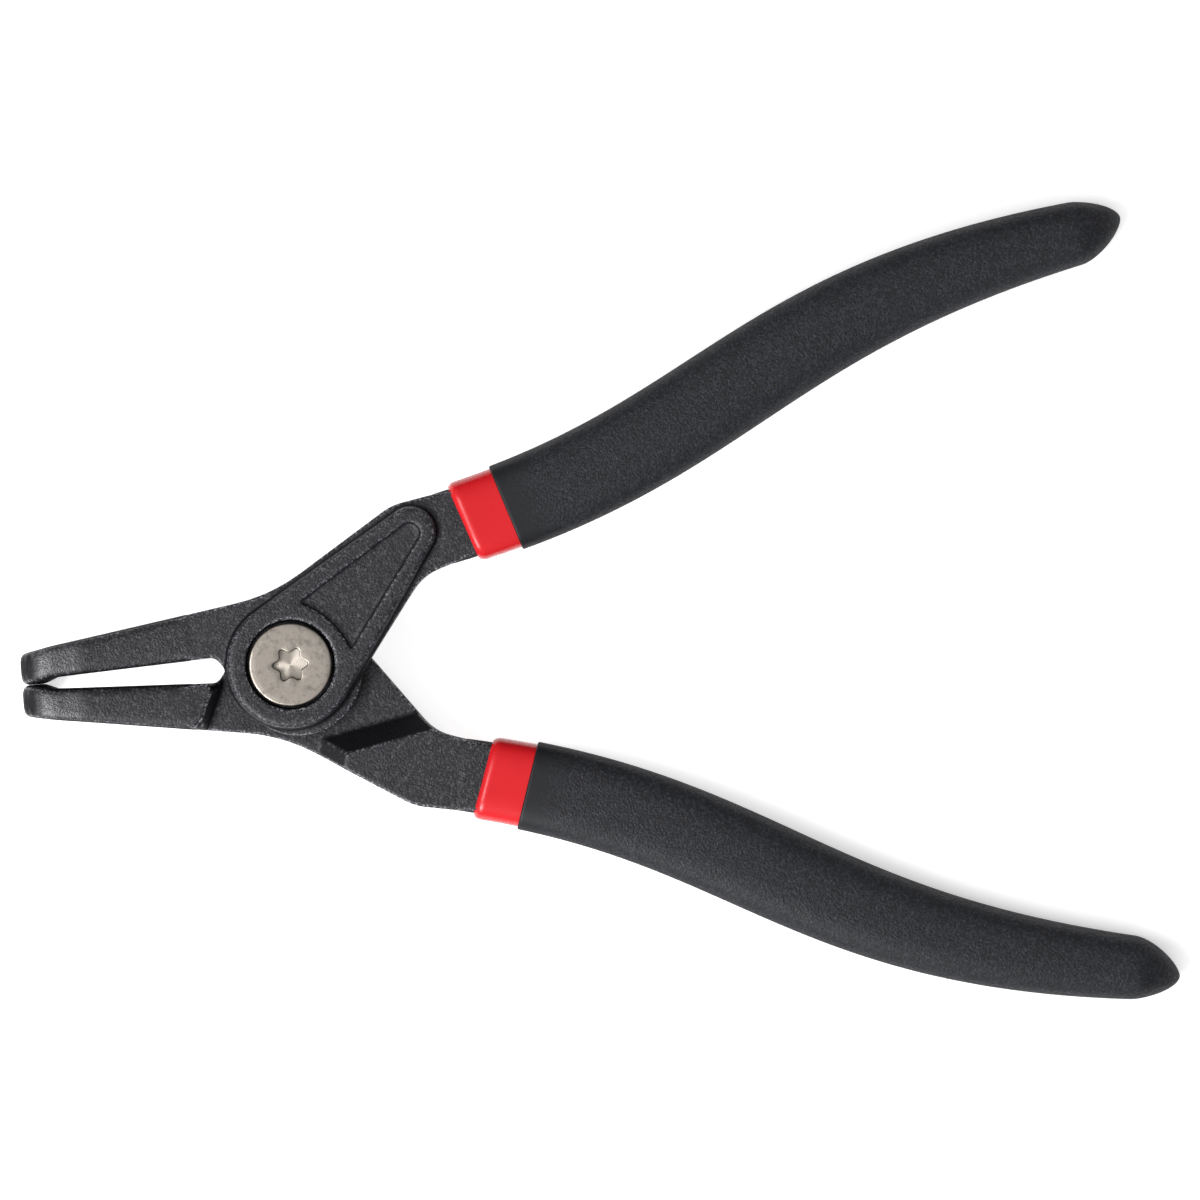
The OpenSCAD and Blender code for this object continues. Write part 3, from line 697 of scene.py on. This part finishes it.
class PLIERS_OT_screw(bpy.types.Operator):
    """Shoulder screw with a flat head and a six-lobed recess"""

    bl_idname = "pliers.screw"
    bl_label = "Pivot screw"

    def execute(self, context):
        sizes = context.scene.pliers_sizes
        material = nickel_plate(context.scene.pliers_colours)
        count = 144
        angle = np.arange(count) * 2 * math.pi / count
        # Six lobes, 5.6 mm over their points and 4.0 mm across the hollows between them
        lobe = 2.8 * (0.715 + 0.285 * ((1 + np.cos(6 * angle)) / 2) ** 1.25)
        pitch = sizes.thread_pitch / MM
        deep = sizes.recess_depth / MM
        thread_r, end_z, edge_r = 3.0, -5.2, 0.3
        # Thread, cut back to a cone at its end and run out below the shoulder
        rings = [round_ring(2.3, end_z, count)]
        for z in np.arange(-5.18, -2.3, 0.09):
            turn = (z / pitch - angle / (2 * math.pi)) % 1
            thread = thread_r - 0.75 * pitch * np.abs(2 * turn - 1) * min(1, (-2.2 - z) / 0.4)
            rings.append(round_ring(np.minimum(thread, 2.45 + 1.2 * (z - end_z)), z, count))
        # Shoulder and head, with a rounded edge
        rings += [round_ring(radius, z, count) for radius, z in
                  [(thread_r, -2.1), (3.4, -2.05), (3.5, -1.95), (3.5, 3.85), (3.6, 3.9),
                   (6.45, 3.9), (6.6, 4.0)]]
        for a in np.radians([0, 18, 36, 54, 72, 90]):
            radius = 6.6 - edge_r + edge_r * math.cos(a)
            rings.append(round_ring(radius, HEAD_TOP - edge_r + edge_r * math.sin(a), count))
        rings += [round_ring(radius, HEAD_TOP, count) for radius in (5.4, 4.4, 3.6)]
        # Recess: rounded rim, wall and flat floor
        rings += [round_ring(lobe * scale, HEAD_TOP - drop, count) for scale, drop in
                  [(1.1, 0), (1.05, 0.015), (1.02, 0.06), (1.0, 0.16), (0.97, deep)]]
        walls = len(rings)
        rings += [round_ring(lobe * 0.965, HEAD_TOP - deep, count)]
        rings += [round_ring(radius, HEAD_TOP - deep, count) for radius in (1.8, 1.2, 0.6, 0.05)]
        level = np.arange(len(rings))
        # The floor rings get turning marks and a painted highlight, and two wall rings get painted shade
        turned = np.where(level < walls, 0.0, 0.7)
        painted_recess_shade = np.isin(level, [walls - 2, walls - 1]).astype(float)
        piece = loft("pivot_screw_turned", in_frame(rings), smooth_angle=35,
                     attributes={"turned": turned, "painted_recess_shade": painted_recess_shade})
        fit(piece, material, "lower_half", "pivot_screw")
        return {"FINISHED"}


class PLIERS_OT_nut(bpy.types.Operator):
    """Six-sided nut sunk in the back of the lower half"""

    bl_idname = "pliers.nut"
    bl_label = "Pivot nut"

    def execute(self, context):
        material = nickel_plate(context.scene.pliers_colours)
        count = 120
        angle = np.arange(count) * 2 * math.pi / count
        flat = (angle + math.pi / 6) % (math.pi / 3) - math.pi / 6
        # Six flats 10 mm apart, with chamfered corners, and a chamfered bore
        six = 5.0 / np.cos(flat)
        low, high = -5.3, -3.32
        rings = [round_ring(np.minimum(six, limit), z, count) for limit, z in
                 [(4.85, low), (5.2, low + 0.18), (5.5, low + 0.36), (5.9, low + 0.6),
                  (5.9, high - 0.6), (5.5, high - 0.36), (5.2, high - 0.18), (4.85, high)]]
        rings += [round_ring(radius, z, count) for radius, z in
                  [(3.4, high), (3.04, high - 0.36), (3.04, low + 0.36), (3.4, low)]]
        rings.append(rings[0])
        piece = loft("pivot_nut_turned", in_frame(rings), closed=False, smooth_angle=25)
        fit(piece, material, "lower_half", "pivot_nut")
        return {"FINISHED"}


class PLIERS_OT_spring(bpy.types.Operator):
    """Torsion spring inside the lap, with a leg in each half"""

    bl_idname = "pliers.spring"
    bl_label = "Return spring"

    def execute(self, context):
        colours = context.scene.pliers_colours
        material = bare_steel("Spring steel, drawn wire", colours.spring_wire, 0.00025, 0.3, 0.42)
        wire, coil, rise, leg = 0.6, 6.05, 1.39, 2.9
        turn = 2.25 * 2 * math.pi
        count = 14
        # Angle, height and direction of the wire: a leg, the coils and the other leg
        path = [(0.0, -leg, (0, 0, 1)), (0.0, -rise - 0.35, (0, 0, 1)), (0.02, -rise - 0.05, (0, 1, 1))]
        path += [(turn * s, -rise + 2 * rise * s, (-math.sin(turn * s), math.cos(turn * s), 0))
                 for s in np.linspace(0.03, 0.97, 90)]
        end = (-math.sin(turn), math.cos(turn))
        path += [(turn - 0.02, rise + 0.05, (*end, 1)), (turn, rise + 0.35, (0, 0, 1))]
        path.append((turn, leg, (0, 0, 1)))
        rings = []
        for at, z, way in path:
            out = np.array([math.cos(at), math.sin(at), 0])
            over = np.cross(np.array(way) / np.linalg.norm(way), out)
            around = np.arange(count)[:, None] * 2 * math.pi / count
            rings.append(coil * out + [0, 0, z] + wire * (np.cos(around) * out + np.sin(around) * over))
        piece = loft("return_spring_wire", in_frame(rings), smooth_angle=60)
        piece.data.materials.append(material)
        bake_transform(piece)
        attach(piece, "lower_half")
        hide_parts("return_spring")
        return {"FINISHED"}


class PLIERS_OT_inner_coats(bpy.types.Operator):
    """Red coats, dipped first, that show as a collar in front of each grip"""

    bl_idname = "pliers.inner_coats"
    bl_label = "Inner coats"

    def execute(self, context):
        lip = context.scene.pliers_sizes.collar_lip / MM
        material = red_plastisol(context.scene.pliers_colours)
        # Inside of the sock, from its closed end forwards along the square bar
        rings = [handle_ring(BAR_END + 0.0113, -1.2, squareness=5.0)]
        rings.append(handle_ring(BAR_END + 0.0083, -0.4, squareness=6.0))
        rings += [handle_ring(t, 0.04, squareness=10.0) for t in np.linspace(BAR_END, COLLAR_START, 24)]
        # Front lip, longer than it is high, and the outside back to the closed end
        for a in np.radians([90, 75, 60, 45, 30, 15, 0]):
            t = COLLAR_START + 1.6 * lip * (1 - math.sin(a)) / COLLAR_RUN
            rings.append(handle_ring(t, INNER_COAT, lip * (1 - math.cos(a))))
        rings += [handle_ring(t, INNER_COAT) for t in np.linspace(COLLAR_START + 0.0105, 1 - NOSE, 48)]
        rings += [handle_ring(1 - NOSE + NOSE * u, INNER_COAT) for u in (0.2, 0.4, 0.55, 0.68, 0.78, 0.86)]
        for half, body, side in HALVES:
            piece = loft("inner_coat_" + half, in_frame(rings, side))
            fit(piece, material, body, half + "_inner_coat")
        return {"FINISHED"}


class PLIERS_OT_grips(bpy.types.Operator):
    """Black textured coats over the handles"""

    bl_idname = "pliers.grips"
    bl_label = "Grips"

    def execute(self, context):
        lip = context.scene.pliers_sizes.grip_lip / MM
        material = black_plastisol(context.scene.pliers_colours)
        # Inside of the sock, from its closed end forwards
        inside = [1 - NOSE + NOSE * u for u in (0.88, 0.75, 0.55, 0.3)]
        inside += list(np.linspace(1 - NOSE, GRIP_START, 40))
        rings = [handle_ring(t, INNER_COAT + COAT_GAP) for t in inside]
        # Front lip
        edge = []
        for a in np.radians([0, 20, 40, 60, 80]):
            edge.append(GRIP_START + lip * (1 - math.cos(a)) / GRIP_RUN)
            rings.append(handle_ring(edge[-1], BOTH_COATS, lip * (1 - math.sin(a))))
        # Outside, back to the closed end
        outside = list(np.linspace(GRIP_START + 0.004, 1 - NOSE, 90))
        outside += [1 - NOSE + NOSE * u for u in
                    (0.1, 0.2, 0.3, 0.4, 0.5, 0.6, 0.69, 0.77, 0.84, 0.9, 0.94, 0.97, 0.99, 0.998)]
        rings += [handle_ring(t, BOTH_COATS) for t in outside]
        # The grain fades in behind the smooth mouth
        parts = np.array(inside + edge + outside)
        grain = np.clip((parts - GRIP_START - 0.008) / 0.05, 0, 1)
        for half, body, side in HALVES:
            piece = loft("grip_" + half, in_frame(rings, side), attributes={"grain": grain})
            fit(piece, material, body, half + "_grip")
        return {"FINISHED"}


class PLIERS_OT_stage(bpy.types.Operator):
    """Pale floor under the tips and handle ends, soft light from the left and a camera straight above"""

    bl_idname = "pliers.stage"
    bl_label = "Stage"

    def execute(self, context):
        scene = context.scene
        scene.view_settings.view_transform = "Standard"

        # The tool rests on its tips and handle ends, so the floor slopes from the one to the other
        low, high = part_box("lower_tip")
        foot_x, foot_z = (low.x + high.x) / 2, low.z
        floor_gap = 0.0002
        slope = 1.0
        for node in ("lower_grip", "upper_grip"):
            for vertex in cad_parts[node].data.vertices:
                slope = min(slope, (vertex.co.z - foot_z) / (vertex.co.x - foot_x))
        deselect()
        bpy.ops.mesh.primitive_plane_add(size=3.0)
        floor = context.object
        floor.name = "floor"
        bpy.ops.object.mode_set(mode="EDIT")
        bpy.ops.mesh.select_all(action="SELECT")
        bpy.ops.mesh.subdivide(number_cuts=8)
        bpy.ops.object.mode_set(mode="OBJECT")
        for vertex in floor.data.vertices:
            vertex.co.z = foot_z - floor_gap + slope * (vertex.co.x - foot_x)

        # Paper lit by the lamps, and white for the eye and in reflections
        material, tree = new_material("Studio floor, white paper")
        ray = add_node(tree, "ShaderNodeLightPath")
        seen = add_node(
            tree, "ShaderNodeMath", {"operation": "MAXIMUM"},
            {0: ray.outputs["Is Camera Ray"], 1: ray.outputs["Is Glossy Ray"]})
        seen = add_node(
            tree, "ShaderNodeMath", {"operation": "MAXIMUM"},
            {0: seen.outputs["Value"], 1: ray.outputs["Is Transmission Ray"]})
        paper = add_node(tree, "ShaderNodeBsdfDiffuse", {"Color": (*linear("e8e8e8"), 1)})
        # The white is darkened by ambient occlusion, as painted shade, in the narrow gap between the beaks
        # and where the tool touches the floor
        painted_contact_shade = add_node(tree, "ShaderNodeAmbientOcclusion", {"Distance": 0.006, "samples": 8})
        white = add_node(
            tree, "ShaderNodeEmission", {"Strength": 0.8}, {"Color": painted_contact_shade.outputs["Color"]})
        lit = add_node(
            tree, "ShaderNodeAddShader", links={0: paper.outputs["BSDF"], 1: white.outputs["Emission"]})
        surface = add_node(
            tree, "ShaderNodeMixShader",
            links={0: seen.outputs["Value"], 1: paper.outputs["BSDF"], 2: lit.outputs["Shader"]})
        add_node(tree, "ShaderNodeOutputMaterial", links={"Surface": surface.outputs["Shader"]})
        floor.data.materials.append(material)

        world = bpy.data.worlds.new("Studio")
        scene.world = world
        world.use_nodes = True
        tree = world.node_tree
        tree.nodes.clear()
        ray = add_node(tree, "ShaderNodeLightPath")
        # The room is brightest above the near left and dim on the far right
        way = add_node(tree, "ShaderNodeTexCoord")
        side = add_node(
            tree, "ShaderNodeVectorMath", {"operation": "DOT_PRODUCT", 1: (-0.5, -0.5, 0.7)},
            {0: way.outputs["Generated"]})
        level = add_node(
            tree, "ShaderNodeMapRange", {"From Min": -0.1, "From Max": 1.0, "To Min": 0.04, "To Max": 0.75},
            {"Value": side.outputs["Value"]})
        room = add_node(
            tree, "ShaderNodeBackground", {"Color": (1, 1, 1, 1)}, {"Strength": level.outputs["Result"]})
        backdrop = add_node(tree, "ShaderNodeBackground", {"Color": (1, 1, 1, 1), "Strength": 1.0})
        light = add_node(
            tree, "ShaderNodeMixShader",
            links={0: ray.outputs["Is Camera Ray"], 1: room.outputs["Background"],
                   2: backdrop.outputs["Background"]})
        add_node(tree, "ShaderNodeOutputWorld", links={"Surface": light.outputs["Shader"]})

        aim = Vector((0.04, 0, 0))
        for name, place, size, power in (
                ("key softbox", (-0.4, -0.38, 0.52), 0.3, 5.5),
                ("jaw softbox", (-0.37, 0.02, 0.58), 0.2, 1.8),
                ("fill softbox", (0.5, 0.3, 0.5), 0.3, 0.4)):
            bpy.ops.object.light_add(type="AREA", location=place)
            lamp = context.object
            lamp.name = name
            lamp.data.size = size
            lamp.data.energy = power
            lamp.rotation_euler = (aim - lamp.location).to_track_quat("-Z", "Y").to_euler()

        # The view is 192 mm wide at the middle plane, from so far that the tool shows hardly any perspective
        lens, sensor, view_width = 400, 36, 0.192
        height = MIDDLE * MM + view_width * lens / sensor
        bpy.ops.object.camera_add(location=(0.0501, 0.0064, height), rotation=(0, 0, math.radians(-4.5)))
        camera = context.object
        camera.data.lens = lens
        camera.data.sensor_width = sensor
        scene.camera = camera
        return {"FINISHED"}


BUILD_ORDER = (
    PLIERS_OT_forgings,
    PLIERS_OT_tips,
    PLIERS_OT_screw,
    PLIERS_OT_nut,
    PLIERS_OT_spring,
    PLIERS_OT_inner_coats,
    PLIERS_OT_grips,
    PLIERS_OT_stage,
)


class PLIERS_PT_pieces(bpy.types.Panel):
    """Sizes, colours and the pieces in the order they are built"""

    bl_idname = "PLIERS_PT_pieces"
    bl_label = "Circlip pliers"
    bl_space_type = "VIEW_3D"
    bl_region_type = "UI"
    bl_category = "Pliers"

    def draw(self, context):
        for group in (context.scene.pliers_sizes, context.scene.pliers_colours):
            column = self.layout.column(align=True)
            for name in group.__annotations__:
                column.prop(group, name)
        column = self.layout.column(align=True)
        for operator in BUILD_ORDER:
            column.operator(operator.bl_idname)


CLASSES = (PliersSizes, PliersColours, *BUILD_ORDER, PLIERS_PT_pieces)


def register():
    for cls in CLASSES:
        bpy.utils.register_class(cls)
    bpy.types.Scene.pliers_sizes = PointerProperty(type=PliersSizes)
    bpy.types.Scene.pliers_colours = PointerProperty(type=PliersColours)


def unregister():
    del bpy.types.Scene.pliers_colours
    del bpy.types.Scene.pliers_sizes
    for cls in reversed(CLASSES):
        bpy.utils.unregister_class(cls)


def main():
    register()
    bpy.ops.pliers.forgings()
    bpy.ops.pliers.tips()
    bpy.ops.pliers.screw()
    bpy.ops.pliers.nut()
    bpy.ops.pliers.spring()
    bpy.ops.pliers.inner_coats()
    bpy.ops.pliers.grips()
    bpy.ops.pliers.stage()


if __name__ == "__main__":
    main()
